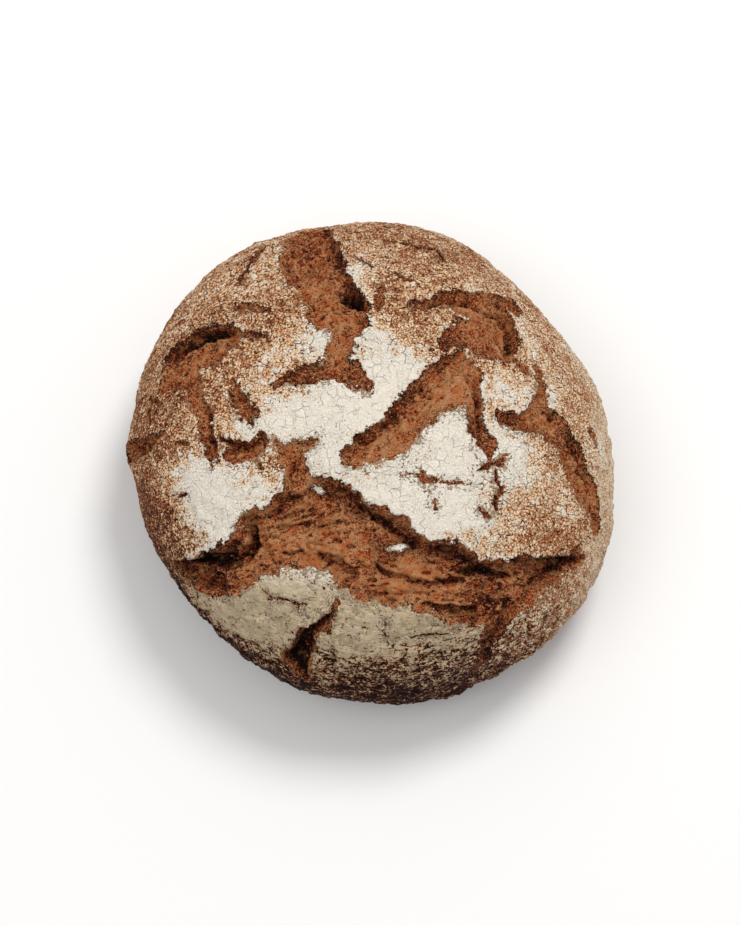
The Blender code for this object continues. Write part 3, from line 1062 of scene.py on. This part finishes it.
def front_of_loaf(tree, place):
    """Where the front is darkened low down, partly browner crust and partly painted shade, and where its
    flour is damp, with its streaks and long ridges.
    """
    east, north = read(tree, "east"), read(tree, "north")
    far = (east * east + north * north).worked("SQRT")
    facing_east, facing_north = east / far, north / far

    def stretched(stretch, scale, roughness, distortion):
        inputs = {0: facing_east * stretch, 1: facing_north * stretch, 2: far}
        around = add_node(tree, "ShaderNodeCombineXYZ", inputs).outputs[0]
        inputs = {"Vector": around, "Scale": scale, "Detail": 4.0, "Roughness": roughness,
                  "Distortion": distortion}
        return Field(tree, add_node(tree, "ShaderNodeTexNoise", inputs).outputs[0])

    damp = north.spread(-72.0, -90.0) * east.spread(85.0, 50.0)
    return SimpleNamespace(
        east=east,
        low=far.spread(86.0, 108.0) * (facing_north * -0.98 + facing_east * -0.17).spread(0.42, 0.88),
        damp=damp,
        streak=stretched(STREAK_STRETCH, 0.5, 0.62, 0.8),
        ridge=(stretched(RIDGE_STRETCH, 0.55, 0.65, 0.7) - 0.5) * damp,
        small_ridge=grain_of(tree, place, RIDGE_GRAIN, 4.0, 0.6, 0.7) * damp,
    )


def crust_tone(tree, place, grains, front, flour, cover, gap):
    """Bare brown, tan where the flour is thin, white only where it was dusted thickly."""
    bake_and_side_light = cover + (grains.dots - 0.5) * 0.14
    # Lighter towards the east, most on the right rim: partly a paler bake, partly painted light on that side.
    bake_and_side_light = bake_and_side_light + front.east.spread(-120.0, 150.0, -0.03, 0.06) + front.east.spread(108.0, 138.0, 0.0, 0.13)
    thin = ramp(tree, bake_and_side_light, THIN_FLOUR_TONES)
    # Bare crust low on the front is darkened: partly browner crust, partly painted shade.
    thin = blend(tree, front.low * cover.spread(0.80, 0.62), thin, LOW_FRONT_BROWN_AND_SHADE, "MULTIPLY")
    ruddy = grain_of(tree, place, 3.2, 2.0).spread(0.5, 0.62) * cover.spread(0.84, 0.66, 0.2, 0.75)
    thin = blend(tree, ruddy, thin, RUDDY_CRUST, "MULTIPLY")
    white = blend(tree, grains.dots, DULL_FLOUR, WHITE_FLOUR)
    white = blend(tree, flour.spread(0.9, 0.6), white, CREAM_FLOUR)
    white = blend(tree, front.damp * grains.cluster.spread(0.3, 0.7, 0.7, 1.0), white, DAMP_FLOUR, "MULTIPLY")
    thick = (grains.fine * 1.5 + flour - 0.75).spread(0.77, 0.91) * cover.spread(0.62, 0.74)
    seam = gap * cover.spread(0.62, 0.95, 0.7, 0.0) * grains.dots.spread(0.62, 0.38)
    return blend(tree, seam, blend(tree, thick, thin, white), SEAM_BROWN)


def crumb_tone(tree, place, grains, edge, hollow):
    """Torn crumb: ochre on the lumps, red-brown lower, nearly black deep down; the light lumps are partly
    painted highlight and the black depths are painted shade.
    """
    # Painted shade: the crumb is darkened at the foot of steep walls, with depth, in near and wide hollows
    # and in pores, so raised lumps come out lighter as painted highlight.
    wall_foot_shade = edge.spread(-5.0, -1.2) * read(tree, "wall")
    tone = read(tree, "toast_and_shade") * 0.33 + grains.crumb * 1.9 - 0.385
    tone = tone + (grain_of(tree, place, CRUMB_FLECK, 2.0, 0.6) - 0.5) * 1.25
    tone = tone + (grains.cluster - 0.5) * 0.5 + (grains.patch - 0.5) * 0.8
    tone = tone - read(tree, "depth") * 0.016 - hollow * 0.28 - read(tree, "wide_hollow") * 0.035
    tone = tone - grains.pore * 0.2 - wall_foot_shade * 0.5
    crumb = ramp(tree, tone, CRUMB_TONES)
    redness = grain_of(tree, place, 4.5, 3.0).spread(0.45, 0.62)
    crumb = blend(tree, redness * 0.7, crumb, RED_CRUMB, "MULTIPLY")
    ochre = grain_of(tree, place, 5.0, 3.0, distortion=0.6).spread(0.52, 0.68)
    crumb = blend(tree, ochre * 0.5, crumb, OCHRE_CRUMB)
    stray = (read(tree, "flour") * 0.5 + grains.fine).spread(0.74, 0.82)
    return blend(tree, stray, crumb, FLOURED_CRUMB)


def crust_finish():
    """The loaf's skin: crust and flour, torn crumb where its frayed edge says so, and darker towards the
    bottom, partly browner base crust and partly painted shade.
    """
    material, tree, place = start_finish("rye crust, flour and torn crumb")
    grains = grains_and_cracks(tree, place)
    front = front_of_loaf(tree, place)
    edge, hollow = read(tree, "edge"), read(tree, "near_hollow")

    loose = grains.fine.spread(0.3, 0.7, -1.0, 1.0) + grains.cluster.spread(0.35, 0.65, -0.5, 0.5)
    frayed = edge + loose * read(tree, "wall").spread(0.0, 0.25, 2.8, 0.6)
    torn = frayed.spread(-0.1, -0.5)

    # A share of the fine grain is covered, more where more was dusted.
    flour = read(tree, "flour") + (grains.cluster * 1.1 - 0.55) + (grains.patch * 0.7 - 0.35)
    # Less flour in hollows and more on raised grain: partly flour lying on the grain, partly painted shade in
    # the hollows.
    flour = flour + hollow.spread(-0.5, 0.5, 0.16, -0.16) + (front.streak * 2.6 - 1.36) * front.low
    gap = grains.gap * flour.spread(0.9, 1.5, 1.0, 0.4)
    flake = grains.flake * front.damp
    cover = grains.fine + flour * 0.5 - gap * 0.15 - grains.split * 0.35 - flake * 0.6
    cover = cover + front.ridge * 0.7 - frayed.spread(0.6, -0.1) * 0.9

    crust = crust_tone(tree, place, grains, front, flour, cover, gap)
    skin = blend(tree, torn, crust, crumb_tone(tree, place, grains, edge, hollow))
    height = Field(tree, add_node(tree, "ShaderNodeSeparateXYZ", {0: place}).outputs["Z"])
    # Darker towards the bottom: partly browner base crust, partly painted shade.
    rim = (height + (grains.cluster - 0.5) * (16 * MM)).spread(30 * MM, 6 * MM)
    skin = blend(tree, rim, skin, BASE_BROWN_AND_SHADE, "MULTIPLY")

    crust_height = cover.spread(0.64, 0.72) * 0.5 + grains.fine * 1.3
    crust_height = crust_height - gap * 0.35 - grains.split * 0.6 - flake
    crust_height = crust_height + front.small_ridge * 4.5 + front.ridge * 4.0 + front.streak * front.low * 2.2
    crumb_height = grains.crumb * 4.4 - grains.pore
    inputs = {0: torn, 2: crust_height, 3: crumb_height}
    relief = add_node(tree, "ShaderNodeMix", inputs, data_type="FLOAT").outputs[0]
    end_finish(material, skin, 0.92, relief, 0.9 * MM, 1.0)
    return material


def lump_finish(name, tones, grain_mm, roughness):
    """Clumped flour or loose crumb: one grain that colours it and roughens it."""
    material, tree, place = start_finish(name)
    grain = grain_of(tree, place, grain_mm, 3.0, 0.65)
    end_finish(material, ramp(tree, grain, tones), roughness, grain, 0.6 * MM, 0.9)
    return material


def floor_finish():
    material = bpy.data.materials.new("pale floor")
    material.use_nodes = True
    surface = material.node_tree.nodes["Principled BSDF"]
    surface.inputs["Base Color"].default_value = (0.92, 0.92, 0.92, 1)
    surface.inputs["Roughness"].default_value = 0.9
    return material


# ---------------------------------------------------------------------------
# Stage
# ---------------------------------------------------------------------------
CAMERA_RISE = math.radians(68.0)
CAMERA_DISTANCE = 1.0
CAMERA_AIM = Vector((-0.7, -6.0, 45.0))
LENS = 85.0
SENSOR = 36.0
FLOOR_SIZE = 6.0
WORLD_STRENGTH = 0.56
LIGHT_AIM = Vector((0, 0, 0.04))
# Soft round lights: name, place and size in metres, watts, tint.
LIGHTS = [
    ("key", (0.42, 0.58, 1.35), 0.55, 12.0, (1.0, 0.98, 0.95)),
    ("fill", (-0.7, -0.5, 1.25), 1.2, 4.6, (1.0, 0.985, 0.96)),
]


def look_from(thing, place, aim):
    thing.location = place
    thing.rotation_mode = "QUATERNION"
    thing.rotation_quaternion = (aim - place).to_track_quat("-Z", "Y")


def make_camera(shift):
    """The camera looks steeply down on the loaf from its front."""
    camera = bpy.data.objects.new("camera", bpy.data.cameras.new("camera"))
    bpy.context.scene.collection.objects.link(camera)
    camera.data.lens = LENS
    camera.data.sensor_width = SENSOR
    aim = (CAMERA_AIM + Vector(shift)) * MM
    back = Vector((0, -math.cos(CAMERA_RISE), math.sin(CAMERA_RISE)))
    look_from(camera, aim + back * CAMERA_DISTANCE, aim)
    bpy.context.scene.camera = camera


def make_floor():
    bpy.ops.object.select_all(action="DESELECT")
    bpy.ops.mesh.primitive_plane_add(size=FLOOR_SIZE, location=(0, 0, 0))
    floor = bpy.context.active_object
    floor.name = "floor"
    floor.data.materials.append(floor_finish())


def add_soft_light(name, place, size, watts, tint):
    light = bpy.data.objects.new(name, bpy.data.lights.new(name, "AREA"))
    bpy.context.scene.collection.objects.link(light)
    light.data.shape = "DISK"
    light.data.size = size
    light.data.energy = watts
    light.data.color = tint
    look_from(light, Vector(place), LIGHT_AIM)


def make_light():
    world = bpy.data.worlds.new("studio")
    bpy.context.scene.world = world
    world.use_nodes = True
    background = world.node_tree.nodes["Background"]
    background.inputs["Color"].default_value = (1.0, 1.0, 1.0, 1)
    background.inputs["Strength"].default_value = WORLD_STRENGTH
    for light in LIGHTS:
        add_soft_light(*light)
    bpy.context.scene.view_settings.view_transform = "Standard"


loaf, loaf_shift = make_loaf()
loaf.data.materials.clear()
loaf.data.materials.append(crust_finish())
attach(loaf, "root")
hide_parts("loaf")

flour_lumps = make_flour_lumps(loaf)
flour_lumps.data.materials.append(lump_finish("clumped flour", CLUMP_TONES, 0.8, 0.95))
crumb_bits = make_crumb_bits(loaf)
crumb_bits.data.materials.append(lump_finish("loose rye crumb", LOOSE_CRUMB_TONES, 1.2, 0.9))
for piece in (flour_lumps, crumb_bits):
    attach(piece, "root")

make_floor()
make_light()
make_camera(loaf_shift)
